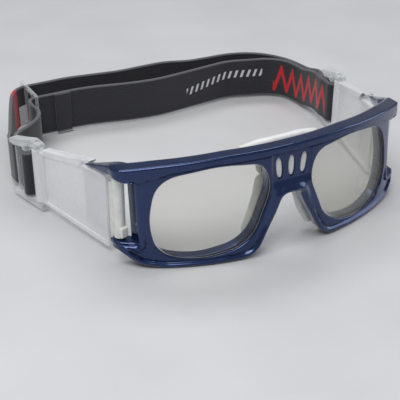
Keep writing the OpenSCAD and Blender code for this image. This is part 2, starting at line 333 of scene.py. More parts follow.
def rounded_rod(radius, low, high, edge, steps=3):
    """Profile of an upright rod with rounded ends."""
    turns = [pi / 2 * k / steps for k in range(steps + 1)]
    lower = [(max(radius - edge * (1 - sin(t)), 0.02), low + edge * (1 - cos(t))) for t in turns]
    upper = [(r, low + high - z) for r, z in reversed(lower)]
    return lower + upper


# ---------- placing in an arm's axes ----------

def arm_point(points, side):
    """Points in an arm's axes, moved to the design's axes; side is 1 on the right and -1 on the left."""
    x, y, z = np.asarray(points, float).T
    return np.column_stack((side * (HINGE_X + x * cos(SPLAY) + y * sin(SPLAY)),
                            HINGE_Y - x * sin(SPLAY) + y * cos(SPLAY), z))


def arm_piece(name, shape, side, smooth=38):
    points, faces = shape
    return make(name, arm_point(points, side), faces, smooth)


def arm_slab(name, outline, x0, x1, side, edge=0.5, steps=3, smooth=38):
    """A plate that stands along the arm: its outline is in y and z, and it reaches from x0 to x1."""
    points, faces = slab(outline, x0, x1, edge, steps)
    return arm_piece(name, (points[:, [2, 0, 1]], faces), side, smooth)


def bore(radius, low, high, y, side):
    """A cutter for an upright hole at y along the arm."""
    return arm_piece("bore", turned([(radius, low), (radius, high)], (0, y)), side)


# ---------- materials ----------

class Paint:
    """A node material with one Principled shader and helpers for what drives it."""

    def __init__(self, name, colour, roughness, **settings):
        self.material = bpy.data.materials.new(name)
        self.material.use_nodes = True
        self.nodes, self.links = self.material.node_tree.nodes, self.material.node_tree.links
        self.shader = self.nodes["Principled BSDF"]
        self.shader.inputs["Base Color"].default_value = (*colour, 1)
        self.shader.inputs["Roughness"].default_value = roughness
        for key, value in settings.items():
            self.shader.inputs[key.replace("_", " ")].default_value = value
        self.place = self.nodes.new("ShaderNodeTexCoord").outputs["Object"]

    def add(self, kind, **values):
        node = self.nodes.new("ShaderNode" + kind)
        for key, value in values.items():
            if key in node.inputs:
                node.inputs[key].default_value = value
            else:
                setattr(node, key, value)
        return node

    def link(self, source, target):
        self.links.new(source, target)

    def feed(self, socket, value):
        """Gives a socket a number, a colour or the output of another node."""
        if isinstance(value, (int, float)):
            socket.default_value = value
        elif isinstance(value, tuple):
            socket.default_value = (*value, 1)
        else:
            self.link(value, socket)

    def noise(self, size, detail=3.0, source=None, rough=0.5):
        """Noise whose grains are about size millimetres across."""
        node = self.add("TexNoise", Scale=1 / (size * MM), Detail=detail, Roughness=rough)
        self.link(source or self.place, node.inputs["Vector"])
        return node.outputs["Fac"]

    def ramp(self, source, *stops):
        """Maps a value to colours: each stop is (place, colour)."""
        node = self.nodes.new("ShaderNodeValToRGB")
        elements = node.color_ramp.elements
        while len(elements) < len(stops):
            elements.new(0.5)
        for element, (where, colour) in zip(elements, stops):
            element.position = where
            element.color = (*colour, 1)
        self.link(source, node.inputs["Fac"])
        return node.outputs["Color"]

    def spread(self, source, low, high, from_low=0.3, from_high=0.7):
        ends = {"From Min": from_low, "From Max": from_high, "To Min": low, "To Max": high}
        node = self.add("MapRange", **ends)
        self.link(source, node.inputs["Value"])
        return node.outputs["Result"]

    def maths(self, operation, a, b=0.0, c=0.0):
        node = self.nodes.new("ShaderNodeMath")
        node.operation = operation
        for socket, value in zip(node.inputs, (a, b, c)):
            self.feed(socket, value)
        return node.outputs["Value"]

    def mixed(self, factor, a, b):
        """Mixes two colours, each a tuple or an output."""
        node = self.nodes.new("ShaderNodeMix")
        node.data_type = "RGBA"
        sockets = [s for s in node.inputs if s.type == "RGBA"]
        self.link(factor, node.inputs["Factor"])
        for socket, value in zip(sockets, (a, b)):
            self.feed(socket, value)
        return [s for s in node.outputs if s.type == "RGBA"][0]

    def colour(self, output):
        self.link(output, self.shader.inputs["Base Color"])

    def roughness(self, output):
        self.link(output, self.shader.inputs["Roughness"])

    def relief(self, height, depth, strength=1.0):
        """Bump of a depth in millimetres."""
        node = self.add("Bump", Strength=strength, Distance=depth * MM)
        self.link(height, node.inputs["Height"])
        self.link(node.outputs["Normal"], self.shader.inputs["Normal"])
        return node.outputs["Normal"]

    def see_through(self, factor, tint=(1, 1, 1)):
        """Lets light straight through where factor, the share of the surface's own shader, is below 1."""
        clear = self.add("BsdfTransparent")
        clear.inputs["Color"].default_value = (*tint, 1)
        mix = self.nodes.new("ShaderNodeMixShader")
        self.feed(mix.inputs[0], factor)
        self.link(clear.outputs[0], mix.inputs[1])
        self.link(self.shader.outputs[0], mix.inputs[2])
        self.link(mix.outputs[0], self.nodes["Material Output"].inputs["Surface"])


def between(p, value, low, high):
    return p.maths("MULTIPLY", p.maths("GREATER_THAN", value, low), p.maths("LESS_THAN", value, high))


def frame_paint():
    p = Paint("navy_metallic", (0.008, 0.03, 0.12), 0.2, Metallic=0.7, Coat_Weight=0.7, Coat_Roughness=0.03,
              Coat_IOR=1.5)
    p.colour(p.ramp(p.noise(0.25, 2), (0.3, (0.003, 0.014, 0.065)), (0.7, (0.008, 0.034, 0.14))))
    p.roughness(p.spread(p.noise(9, 4), 0.16, 0.3))
    p.relief(p.noise(0.18, 1), 0.004, 0.25)
    return p.material


def lens_paint():
    p = Paint("clear_lens", (0.62, 0.6, 0.52), 0.03, IOR=1.58, Specular_IOR_Level=0.6)
    p.roughness(p.spread(p.noise(14, 3), 0.02, 0.06))
    p.relief(p.noise(22, 1), 0.03, 0.2)
    facing = p.add("LayerWeight", Blend=0.35)
    p.see_through(p.spread(facing.outputs["Fresnel"], 0.02, 0.4, 0.0, 0.8), (0.95, 0.952, 0.935))
    return p.material


# Painted highlight: a whitish, mostly solid colour for the band along the lens edge, standing in for light
# catching the bevel.
def lens_edge_highlight_paint():
    p = Paint("lens_edge_highlight", (0.82, 0.84, 0.84), 0.25, Coat_Weight=0.6)
    p.colour(p.ramp(p.noise(1.2, 3), (0.3, (0.84, 0.86, 0.88)), (0.7, (0.96, 0.97, 0.98))))
    p.roughness(p.spread(p.noise(0.6, 2), 0.18, 0.36))
    p.see_through(0.8)
    return p.material


def silicone_paint():
    p = Paint("milky_silicone", (0.74, 0.75, 0.72), 0.42, Subsurface_Weight=0.35, Subsurface_Scale=0.004,
              Coat_Weight=0.15, Coat_Roughness=0.3)
    p.shader.inputs["Subsurface Radius"].default_value = (1.0, 0.9, 0.75)
    p.colour(p.ramp(p.noise(6, 4), (0.3, (0.67, 0.68, 0.65)), (0.7, (0.8, 0.81, 0.79))))
    p.roughness(p.spread(p.noise(0.7, 3), 0.34, 0.52))
    p.relief(p.noise(0.35, 3), 0.02, 0.3)
    return p.material


def arm_paint():
    p = Paint("translucent_arm", (0.84, 0.85, 0.85), 0.3, Coat_Weight=0.35, Coat_Roughness=0.12)
    p.colour(p.ramp(p.noise(14, 3), (0.3, (0.88, 0.89, 0.9)), (0.7, (0.94, 0.95, 0.96))))
    p.roughness(p.spread(p.noise(1.1, 3), 0.24, 0.42))
    p.relief(p.noise(0.4, 3), 0.02, 0.25)
    p.see_through(0.66, (0.95, 0.96, 0.97))
    return p.material


def tongue_paint():
    p = Paint("hinge_insert", (0.66, 0.66, 0.6), 0.32, Coat_Weight=0.5, Coat_Roughness=0.1,
              Subsurface_Weight=0.25, Subsurface_Scale=0.003)
    p.colour(p.ramp(p.noise(5, 4), (0.3, (0.7, 0.71, 0.68)), (0.7, (0.82, 0.83, 0.79))))
    p.roughness(p.spread(p.noise(1.4, 3), 0.24, 0.42))
    p.relief(p.noise(0.5, 3), 0.02, 0.3)
    return p.material


def buckle_paint(name, cloud):
    p = Paint(name, (0.8, 0.82, 0.82), 0.06, IOR=1.5, Coat_Weight=0.3)
    p.roughness(p.spread(p.noise(3, 3), 0.04, 0.14))
    p.relief(p.noise(4, 2), 0.05, 0.35)
    facing = p.add("LayerWeight", Blend=0.45)
    p.see_through(p.spread(facing.outputs["Facing"], cloud * 0.3, cloud, 0.05, 0.85), (0.93, 0.94, 0.94))
    return p.material


def steel_paint():
    p = Paint("pin_steel", (0.6, 0.61, 0.63), 0.24, Metallic=1.0)
    p.colour(p.ramp(p.noise(1.5, 4), (0.3, (0.5, 0.51, 0.53)), (0.7, (0.66, 0.67, 0.69))))
    stretched = p.add("Mapping")
    stretched.inputs["Scale"].default_value = (1, 1, 12)
    p.link(p.place, stretched.inputs["Vector"])
    p.roughness(p.spread(p.noise(0.8, 3, stretched.outputs["Vector"]), 0.16, 0.36))
    p.relief(p.noise(0.3, 2, stretched.outputs["Vector"]), 0.01, 0.3)
    return p.material


RED_PRINT, WHITE_PRINT = (0.62, 0.012, 0.02), (0.72, 0.72, 0.75)


def webbing_paint(name, marks):
    """Ribbed black elastic; marks(p, along, up) lists each (mask, colour) that is printed on it."""
    p = Paint(name, (0.012, 0.012, 0.016), 0.75, Sheen_Weight=0.35, Sheen_Roughness=0.4)
    lay = p.add("Attribute", attribute_name="lay")
    parts = p.add("SeparateXYZ")
    p.link(lay.outputs["Vector"], parts.inputs[0])
    along, up, inside = parts.outputs[0], parts.outputs[1], parts.outputs[2]
    ribs = p.maths("SINE", p.maths("MULTIPLY", up, 2 * pi / 0.9))
    picks = p.maths("SINE", p.maths("MULTIPLY", along, 2 * pi / 0.55))
    weave = p.maths("MULTIPLY_ADD", ribs, 0.3, p.maths("MULTIPLY_ADD", picks, 0.2, 0.5))
    fuzz = p.noise(0.5, 4)
    base = p.ramp(p.maths("MULTIPLY_ADD", fuzz, 0.4, p.maths("MULTIPLY", weave, 0.6)),
                  (0.25, (0.006, 0.006, 0.009)), (0.75, (0.034, 0.034, 0.042)))
    # A lighter band, 1 mm wide, along the top and the bottom edge of the webbing.
    off_middle = p.maths("ABSOLUTE", p.maths("SUBTRACT", up, STRAP_H / 2))
    edge = p.maths("GREATER_THAN", off_middle, STRAP_H / 2 - 1.0)
    edge_band = p.ramp(p.maths("MULTIPLY_ADD", picks, 0.4, 0.5),
                    (0.2, (0.05, 0.05, 0.056)), (0.8, (0.16, 0.16, 0.17)))
    base = p.mixed(edge, base, edge_band)
    for mask, colour in marks(p, along, up):
        worn = p.maths("MULTIPLY", p.maths("MULTIPLY", mask, inside), p.spread(fuzz, 0.72, 1.0))
        base = p.mixed(worn, base, colour)
    p.colour(base)
    p.roughness(p.spread(fuzz, 0.62, 0.85))
    p.relief(p.maths("MULTIPLY_ADD", fuzz, 0.25, weave), 0.12, 0.8)
    return p.material


def no_marks(p, along, up):
    """Plain webbing."""
    return []


def inner_marks(p, along, up):
    """Red chevrons at the right end, then a row of slanted white bars that sinks towards the middle."""
    wave = p.maths("PINGPONG", along, 4.4)
    height = p.maths("MULTIPLY_ADD", wave, 3.0, 4.2)
    stroke = p.maths("LESS_THAN", p.maths("ABSOLUTE", p.maths("SUBTRACT", up, height)), 3.4)
    red = p.maths("MULTIPLY", stroke, p.maths("MULTIPLY", between(p, along, -17, 36), between(p, up, 3, 20)))
    middle = p.maths("MULTIPLY_ADD", p.maths("MAXIMUM", p.maths("SUBTRACT", along, 66), 0.0), -0.16, 14.6)
    offset = p.maths("SUBTRACT", up, middle)
    slanted = p.maths("FRACT", p.maths("DIVIDE", p.maths("MULTIPLY_ADD", offset, 0.35, along), 3.9))
    short = p.maths("LESS_THAN", p.maths("ABSOLUTE", offset), 2.2)
    bar = p.maths("MULTIPLY", p.maths("LESS_THAN", slanted, 0.4), short)
    white = p.maths("MULTIPLY", bar, between(p, along, 43, 94))
    return [(red, RED_PRINT), (white, WHITE_PRINT)]


def outer_marks(p, along, up):
    """A red band and a blank white patch near the left buckle."""
    red = between(p, along, 203.6, 211)
    patch = p.maths("MULTIPLY", between(p, along, 196, 202.6), between(p, up, 0.6, 12))
    return [(red, RED_PRINT), (patch, WHITE_PRINT)]


def floor_paint():
    p = Paint("pale_floor", (0.6, 0.6, 0.6), 0.45, Specular_IOR_Level=0.4)
    p.colour(p.ramp(p.noise(60, 3), (0.3, (0.58, 0.58, 0.585)), (0.7, (0.63, 0.63, 0.635))))
    return p.material


PAINTS = {
    "frame": frame_paint(), "lens": lens_paint(), "lens_edge_highlight": lens_edge_highlight_paint(),
    "silicone": silicone_paint(), "arm": arm_paint(), "tongue": tongue_paint(),
    "buckle": buckle_paint("clear_plastic", 0.7), "slider": buckle_paint("clear_slider", 0.45),
    "steel": steel_paint(), "webbing": webbing_paint("elastic_webbing", no_marks),
    "inner": webbing_paint("elastic_inner", inner_marks),
    "outer": webbing_paint("elastic_outer", outer_marks)}


def finished(obj, paint, body, slot, *nodes):
    """Gives a piece its material and its body, and hides the CAD nodes that it stands for; slot is not used.
    """
    obj.data.materials.clear()
    obj.data.materials.append(PAINTS[paint])
    if body:
        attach(obj, body)
    if nodes:
        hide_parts(*nodes)
    return obj


# ---------- camera, light and floor ----------

CAMERA_PLACE = (-208.26, -298.86, 231.28)
CAMERA_LENS = 84.66
LOOKS_ROUND, LOOKS_DOWN = radians(28.5), radians(29.8)


def set_camera():
    """From in front of the wearer's right side, looking down."""
    data = bpy.data.cameras.new("camera")
    data.sensor_width = 36
    data.lens = CAMERA_LENS
    data.clip_start = 0.01
    camera = linked("camera", data)
    camera.location = place([CAMERA_PLACE])[0]
    camera.rotation_euler = (pi / 2 - LOOKS_DOWN, 0, -LOOKS_ROUND)
    scene.camera = camera


def softbox(name, where, target, size, power):
    data = bpy.data.lights.new(name, "AREA")
    data.shape = "RECTANGLE"
    data.size, data.size_y = size
    data.energy = power
    light = linked(name, data)
    light.location = where
    light.rotation_euler = (Vector(target) - Vector(where)).to_track_quat("-Z", "Y").to_euler()


def set_lights():
    softbox("key", (-0.35, -0.25, 0.75), (0, 0, 0), (0.6, 0.45), 4.5)
    softbox("rear", (0.15, 0.4, 0.85), (0, 0, 0.02), (0.8, 0.3), 3)
    softbox("right_side", (0.8, -0.2, 0.4), (0, 0, 0.02), (0.4, 0.6), 1.5)
    world = bpy.data.worlds.new("studio")
    world.use_nodes = True
    world.node_tree.nodes["Background"].inputs["Color"].default_value = (0.9, 0.93, 1, 1)
    world.node_tree.nodes["Background"].inputs["Strength"].default_value = 0.3
    scene.world = world
    scene.view_settings.view_transform = "Standard"


def set_floor():
    mesh = bpy.data.meshes.new("floor")
    reach = 3
    corners = [(-reach, -reach, 0), (reach, -reach, 0), (reach, reach, 0), (-reach, reach, 0)]
    mesh.from_pydata(corners, [], [(0, 1, 2, 3)])
    mesh.materials.append(floor_paint())
    linked("floor", mesh)


# ---------- front frame ----------

FACE = rounded(FACE_CORNERS, 8)
EYE = rounded(EYE_CORNERS, 12)


def wrapped(flat, depth):
    """Points (x, z) bent round onto the face; depth is how far they lie behind the front of the rims."""
    x, z = flat.T
    radius = FRONT_R + FACE_LEAN * (SLOT_Z - z) - depth
    return np.column_stack((x, FRONT_R - np.sqrt(radius ** 2 - x ** 2), z))


def length_at(loop, along, point):
    """How far round a closed loop the place nearest to a point is."""
    best, found = 1e9, 0
    for k in range(len(loop) - 1):
        d = loop[k + 1] - loop[k]
        t = np.clip((point - loop[k]) @ d / max(d @ d, 1e-12), 0, 1)
        gap = np.linalg.norm(point - loop[k] - t * d)
        if gap < best:
            best, found = gap, along[k] + t * np.linalg.norm(d)
    return found


def rim_loops(step=0.8):
    """Matching points on the edge of the opening and on the outline of the half face."""
    loops = [closed(EYE), closed(FACE)]
    along = [lengths_along(loop) for loop in loops]
    marks = [[length_at(loops[k], along[k], np.array(pair[k], float)) for pair in RIM_STATIONS]
             for k in (0, 1)]
    found = [[], []]
    for i in range(len(RIM_STATIONS)):
        spans = []
        for k in (0, 1):
            start, end = marks[k][i], marks[k][(i + 1) % len(RIM_STATIONS)]
            spans.append((start, end + (along[k][-1] if end < start else 0)))
        count = max(2, round(max(b - a for a, b in spans) / step))
        for k in (0, 1):
            lengths = np.linspace(*spans[k], count, endpoint=False) % along[k][-1]
            found[k].append(at_lengths(loops[k], lengths))
    return np.vstack(found[0]), np.vstack(found[1])


def brow_edge(x):
    """Height of the lower edge of the brow bar."""
    return np.interp(np.abs(x), (0, 36, 54, 67, 90), (48.8, 48.4, 46, 41.6, 40.8))


def roll_depth(x, z, proud):
    """Depth of the roll that takes the front of an end back round the hinge."""
    radius = FRONT_R + FACE_LEAN * (SLOT_Z - z)
    centre_x = END_X - END_ROLL
    centre_y = FRONT_R - np.sqrt((radius + proud - END_ROLL) ** 2 - centre_x ** 2)
    tangent = centre_x * (1 + END_ROLL / (radius + proud - END_ROLL))
    y = centre_y - np.sqrt(np.maximum(END_ROLL ** 2 - (x - centre_x) ** 2, 0))
    return np.where(x > tangent, radius - np.sqrt((FRONT_R - y) ** 2 + x ** 2), -9)


def front_depth(x, z, to_eye, to_rim):
    """How far the front lies behind the plain face: brow bar, beads, saddle, bridge plate, rounded edges."""
    brow = ease(z, brow_edge(x) - 0.35, brow_edge(x) + 0.35)
    depth = -BROW_PROUD * brow
    depth += 0.3 * bump(z, brow_edge(x) - 0.7, 0.4) * (1 - brow)
    low = ease(z, 19, 11)
    depth += low * (0.95 * bump(to_rim, 2.75, 0.55) - 0.35 * bump(to_rim, 1.5, 0.8))
    depth += low * 0.3 * ease(to_rim, 2.9, 3.6)
    arch = np.exp(-(x / 8) ** 4) * ease(z, 37, 33)
    depth -= 2.2 * arch * bump(to_rim, 2.6, 1.6)
    plate = ease(np.abs(x), 10.5, 9.3) * ease(z, 31, 35.5) * (1 - brow)
    depth += 1.0 * plate
    nose = ease(z, 5, 13) * ease(z, 31, 25) * ease(np.abs(x), 24, 20)
    edge = 1.3 - 0.35 * brow + 0.5 * nose
    near = np.minimum(to_rim, edge)
    depth += edge - np.sqrt(np.maximum(edge ** 2 - (edge - near) ** 2, 0))
    lip = 0.6
    near = np.minimum(to_eye, lip)
    depth += lip - np.sqrt(np.maximum(lip ** 2 - (lip - near) ** 2, 0))
    return np.maximum(depth, roll_depth(x, z, BROW_PROUD * ease(z, 30, 40)))


def back_depth(z, to_eye, to_rim):
    """Depth of the back surface: rounded edges, and a slope along the top of the brow bar."""
    depth = np.full(len(to_eye), float(RIM_DEPTH))
    for gap in (to_eye, to_rim):
        near = np.minimum(gap, 0.9)
        depth -= 0.9 - np.sqrt(np.maximum(0.9 ** 2 - (0.9 - near) ** 2, 0))
    return depth - 3.2 * ease(z, 43.5, 46.5) * np.clip(1 - to_rim / 4.4, 0, 1) ** 1.8


def half_front():
    """Points and faces of the right half of the front."""
    eye, rim = rim_loops()
    span = np.linalg.norm(rim - eye, axis=1)
    ray = (rim - eye) / span[:, None]
    squeeze = np.minimum(1, span / 5.4)
    from_eye = [0, 0.05, 0.16, 0.34, 0.6, 0.9]
    from_rim = [2.9, 2.55, 2.2, 1.85, 1.5, 1.2, 0.92, 0.66, 0.44, 0.26, 0.12, 0.03, 0]
    middle = 14
    rows = [squeeze * s for s in from_eye]
    start, end = squeeze * 1.2, span - squeeze * 3.25
    rows += [start + (end - start) * k / (middle - 1) for k in range(middle)]
    rows += [span - squeeze * s for s in from_rim]

    def surface(s, depth_of):
        flat = eye + ray * s[:, None]
        flat[:, 0] = np.maximum(flat[:, 0], 0)
        to_eye, to_rim = to_line(flat, closed(EYE)), to_line(flat, FACE)
        return flat, depth_of(flat, to_eye, to_rim)

    loops = []
    for s in rows:
        flat, depth = surface(s, lambda f, e, r: front_depth(f[:, 0], f[:, 1], e, r))
        loops.append(wrapped(flat, depth))
    front_edge = depth
    back_edge = surface(span, lambda f, e, r: back_depth(f[:, 1], e, r))[1]
    for share in (0.3, 0.6, 0.85):
        loops.append(wrapped(rim, front_edge + (back_edge - front_edge) * share))
    wall = range(len(rows) - 1, len(rows) + 3)
    back_rows = [span - squeeze * s for s in (0, 0.03, 0.12, 0.3, 0.55, 0.9, 1.4, 2.1)]
    back_rows += [span - squeeze * 2.1 - (span - squeeze * 3) * k / 4 for k in range(1, 4)]
    back_rows += [squeeze * s for s in (0.9, 0.45, 0.2, 0.06, 0)]
    for s in back_rows:
        flat, depth = surface(s, lambda f, e, r: back_depth(f[:, 1], e, r))
        loops.append(wrapped(flat, depth))
    groove = LENS_LAP + 0.15
    front_of_lens, back_of_lens = LENS_SET - 0.1, LENS_SET + LENS_T + 0.1
    for s, depth in ((0, back_of_lens + 0.3), (0.15, back_of_lens), (groove, back_of_lens),
                     (groove, front_of_lens), (0.15, front_of_lens), (0, front_of_lens - 0.2)):
        loops.append(wrapped(eye + ray * s, depth))
    stations, count = len(eye), len(loops)
    points = np.stack(loops, axis=1).reshape(-1, 3)
    middle_plane = rim[:, 0] < 1e-6
    faces = []
    for i in range(stations):
        j = (i + 1) % stations
        for k in range(count):
            m = (k + 1) % count
            if middle_plane[i] and middle_plane[j] and k in wall:
                continue
            faces.append((i * count + k, i * count + m, j * count + m, j * count + k))
    return points, faces


def mirrored(points, faces):
    """Both halves of a shape that is drawn on the right only."""
    other = points * (-1, 1, 1)
    return np.vstack((points, other)), list(faces) + [[k + len(points) for k in reversed(f)] for f in faces]


def oval(width, height, count=36):
    """A slot's outline: an oval a little fuller than an ellipse."""
    turn = np.arange(count) / count * 2 * pi
    full = 0.86
    return np.column_stack((width / 2 * np.sign(np.cos(turn)) * np.abs(np.cos(turn)) ** full,
                            height / 2 * np.sign(np.sin(turn)) * np.abs(np.sin(turn)) ** full))


def slot_shape(column, grow, levels):
    """One bridge slot, or the plug in it, lofted through levels of (y, extra growth)."""
    lean = radians(6) * np.sign(column)
    rings = []
    for y, extra in levels:
        outline = oval(SLOT_W + 2 * (grow + extra), SLOT_H + 2 * (grow + extra))
        u = outline[:, 0] * cos(lean) + outline[:, 1] * sin(lean)
        v = -outline[:, 0] * sin(lean) + outline[:, 1] * cos(lean)
        rings.append(np.column_stack((column * SLOT_PITCH + u, np.full(len(u), y), SLOT_Z + v)))
    return lofted(rings)


def lug_outline():
    """The hinge lug seen from above: a round end about the hinge axis and a root inside the rim."""
    turn = np.linspace(radians(-20), radians(170), 16)
    end = np.column_stack((HINGE_X + 3.6 * np.cos(turn), HINGE_Y + 3.6 * np.sin(turn)))
    return np.vstack((end, [(65.6, 24), (65, 19), (68, 18.4), (72.6, 21.6), (74.6, 24)]))


def lug(name, low, high):
    points, faces = slab(lug_outline(), low, high, 0.7)
    return make(name, *mirrored(points, faces))


def tail_shape():
    """The tail that narrows from the end of the brow bar into the notch of the arm, in the arm's axes."""
    stations = [  # y, low z, high z, inner x, outer x
        (-3, 42.6, 47, -5.6, 2.9), (1, 42.4, 46.8, -4.6, 3.1), (4.5, 42, 46, -3.6, 2.9),
        (8, 41.3, 44.8, -2.8, 2.5), (12, 40.8, 43.4, -2, 2.1), (16, 40.3, 42, -1.2, 1.8),
        (20.4, 39.9, 40.5, -0.3, 1.4)]
    fine = smoothed(stations, 5)
    rings = []
    for y, low, high, inner, outer in fine:
        radius = min(0.9, (high - low) * 0.42)
        box = rectangle(inner, low, outer, high, radius, 5)
        rings.append(np.column_stack((box[:, 0], np.full(len(box), y), box[:, 1])))
    return lofted(rings)


def front_frame():
    points, faces = half_front()
    front = make("front_frame_shell", *mirrored(points, faces))
    flare = [(-6, 0.35), (0.9, 0.2), (1.5, -0.1), (1.9, 0), (16, 0)]
    for column in (-1, 0, 1):
        combined(front, [make("slot_cutter", *slot_shape(column, 0, flare))])
    tails = [arm_piece("tail", tail_shape(), side) for side in (1, -1)]
    combined(front, [lug("lower_lugs", 7.2, 11.4), lug("upper_lugs", 42.6, 46.2), *tails], "UNION")
    cleaned(front, merge=5e-6)
    shade(front, 36)
    evened(front)
    return finished(front, "frame", "root", "frame", "front_frame")


# ---------- lenses ----------

def lens(side):
    """A cylindrical shell cut to the opening, with a bevel all round whose band is painted whitish as a
    painted highlight.
    """
    outline = anticlockwise(resampled(closed(EYE), 0.8)[:-1])
    grown = inset(outline, -LENS_LAP)
    middle = grown.mean(axis=0)
    shares = [0, 0.2, 0.4, 0.58, 0.74, 0.87]
    front_rings = [middle + (outline - middle) * share for share in shares]
    front_rings += [inset(outline, 1.2), inset(outline, 0.5)]
    back = LENS_SET + LENS_T
    rings = [(ring, LENS_SET) for ring in front_rings]
    rings += [(inset(outline, 0.25), LENS_SET + 0.12), (grown, LENS_SET + 0.35), (grown, back - 0.25),
              (inset(outline, -0.9), back)]
    rings += [(ring, back) for ring in reversed(front_rings[:-1])]
    loops = [wrapped(ring, depth) for ring, depth in rings]
    points = np.vstack(loops) * (side, 1, 1)
    faces = grid_faces(len(loops), len(outline), close_columns=True)
    name = SIDES[side]
    obj = make(name + "_lens_shell", points, faces, 60)
    finished(obj, "lens", "root", "lens", name + "_lens")
    # Second material: the whitish painted highlight, given to the band within 0.75 mm of the opening's edge.
    obj.data.materials.append(PAINTS["lens_edge_highlight"])
    rim = np.array([v.co for v in obj.data.vertices]) / MM + (0, Y_MID, 0)
    gap = to_line(rim[:, [0, 2]] * (side, 1), closed(EYE))
    on_highlight_band = np.array([0.9 if g < 0.75 else 0 for g in gap])
    for polygon in obj.data.polygons:
        if all(on_highlight_band[v] for v in polygon.vertices):
            polygon.material_index = 1
    return obj


# ---------- nose cushion ----------

def pad(outline, depth0, depth1, crown, cell=0.55):
    """A soft crowned body that follows the back of the face: an outline in x and z between two depths."""
    outline = anticlockwise(outline)
    points, faces = slab(outline, 0, depth1 - depth0, min(1.3, (depth1 - depth0) * 0.45), 4)
    flat = make("pad", np.column_stack((points[:, 0], -points[:, 2], points[:, 1])), faces)
    modifier = flat.modifiers.new("remesh", "REMESH")
    modifier.mode = "VOXEL"
    modifier.voxel_size = cell * MM
    smooth = flat.modifiers.new("smooth", "SMOOTH")
    smooth.factor = 0.5
    smooth.iterations = 6
    applied(flat)
    mesh = np.array([v.co for v in flat.data.vertices]) / MM + (0, Y_MID, 0)
    faces = [list(p.vertices) for p in flat.data.polygons]
    bpy.data.objects.remove(flat)
    spots, depth = mesh[:, [0, 2]], -mesh[:, 1]
    inside = to_line(spots, closed(outline))
    share = depth / (depth1 - depth0)
    depth = depth0 + depth + crown * np.sqrt(np.clip(inside / 3.5, 0, 1)) * np.clip(share, 0, 1)
    return wrapped(spots, depth), faces


def nose_cushion():
    wing = rounded([(3, 33, 2), (7.5, 36, 3), (12, 33, 4), (13.9, 24, 10), (19.6, 8, 4), (18.2, 3.8, 3),
                    (14, 4.6, 4), (9.8, 12, 8), (6.8, 22, 6)], 8)
    brow = [(12, 51.3, 20), (20.4, 49.6, 2.5), (20.4, 47, 2), (13, 46.6, 4), (12, 36, 2), (6, 33, 4)]
    brow = [(0, 51.6, 30), *brow, (0, 33, 6), *[(-x, z, r) for x, z, r in reversed(brow)]]
    base = RIM_DEPTH + 0.05
    pieces = [make("brow_pad", *pad(rounded(brow, 8), base, base + 3.6, 1.2))]
    for side in (1, -1):
        points, faces = pad(wing, base, base + 4.2, 1.6)
        pieces.append(make("nose_wing", points * (side, 1, 1), faces))
    for column in (-1, 0, 1):
        plug = slot_shape(column, -0.12, [(1.0, -0.75), (1.15, -0.35), (1.5, -0.08), (1.9, 0), (10.5, 0)])
        pieces.append(make("plug", *plug))
    cushion = combined(pieces[0], pieces[1:], "UNION")
    cleaned(cushion, merge=5e-6)
    shade(cushion, 50)
    return finished(cushion, "silicone", "root", "silicone", "nose_cushion")


# ---------- hinges and arms ----------

def hinge_tongue(side):
    """Knuckle, foot and windowed plate in one hard moulding."""
    low, high = 11.8, 41.6
    name = SIDES[side]
    body = arm_piece("tongue", turned(rounded_rod(2.7, low, high, 0.5), (0, 0)), side)
    plate = rounded([(1.5, 12.2, 0.5), (4.6, 12, 0.8), (6.2, 8.2, 1), (25, 9.2, 1), (25, 35.3, 1),
                     (5.4, 36.3, 1.5), (1.5, 37, 0.5)], 5)
    web = rounded([(0, 12.2, 0.4), (4.4, 12.2, 0.4), (4.4, 36.6, 0.8), (0, 37.6, 0.4)], 4)
    foot = rounded([(-3.9, 12.6, 0.8), (-0.4, 12.6, 0.3), (-0.4, 18.2, 0.3), (-3.9, 17.6, 1)], 5)
    combined(body, [arm_slab("plate", plate, -2, -0.4, side, 0.2, 2),
                    arm_slab("web", web, -2, 0.1, side, 0.3, 2),
                    arm_slab("foot", foot, -1.6, 2, side, 0.5)], "UNION")
    windows = [rectangle(10.5, z, 21.5, z + 9, 0.9, 5) for z in (12.4, 24.6)]
    cutters = [arm_slab("window", w, -5, 1, side, 0.05, 1) for w in windows]
    combined(body, cutters + [bore(PIN_R + PIN_GAP, low - 2, high + 2, 0, side)])
    softened(body, 0.18)
    body.name = name + "_hinge_insert"
    return finished(body, "tongue", name + "_arm", "tongue", name + "_hinge_tongue")


def arm_shell(side):
    """Soft translucent arm: a raised border, a pocket for the insert and a barrel for the buckle pin."""
    name = SIDES[side]
    rear = ARM_LEN - 4.5
    outline = rounded([(ARM_FRONT, 2.6, 1.8), (ARM_FRONT, 39.8, 5), (15, 39.4, 6), (21.4, 38.6, 1.2),
                       (22.8, 40.2, 0.6), (17.4, 42.5, 0.6), (rear, 34.2, 1.5), (rear, 4.2, 1)], 8)
    panel = rounded([(ARM_FRONT + 1.8, 5.6, 1.2), (ARM_FRONT + 2.2, 37, 5), (23, 37.2, 3),
                     (rear - 1.5, 31.6, 2), (rear - 1.5, 6.6, 1)], 6)
    pocket = rounded([(5, 7.9, 0.3), (25.2, 8.9, 0.8), (25.2, 35.6, 0.8), (5, 36.6, 0.3)], 4)
    shell = arm_slab("arm", outline, -3.2, 1.1, side, 0.9, 4)
    neck = rectangle(rear - 2, 5, ARM_LEN, 33, 0.4, 3)
    barrel = arm_piece("barrel", turned(rounded_rod(3, 5, 33, 0.6), (0, ARM_LEN)), side)
    combined(shell, [arm_slab("neck", neck, -1.6, 1.6, side, 0.5), barrel], "UNION")
    combined(shell, [arm_slab("panel_out", panel, 0.62, 3, side, 0.3, 2),
                     arm_slab("panel_in", panel, -5, -2.72, side, 0.3, 2),
                     arm_slab("pocket", pocket, -2.1, -0.3, side, 0.1, 1),
                     bore(BUCKLE_PIN_R + PIN_GAP, 0, 60, ARM_LEN, side)])
    softened(shell, 0.15)
    shell.name = name + "_arm_skin"
    return finished(shell, "arm", name + "_arm", "arm", name + "_arm_shell")


# ---------- buckles ----------

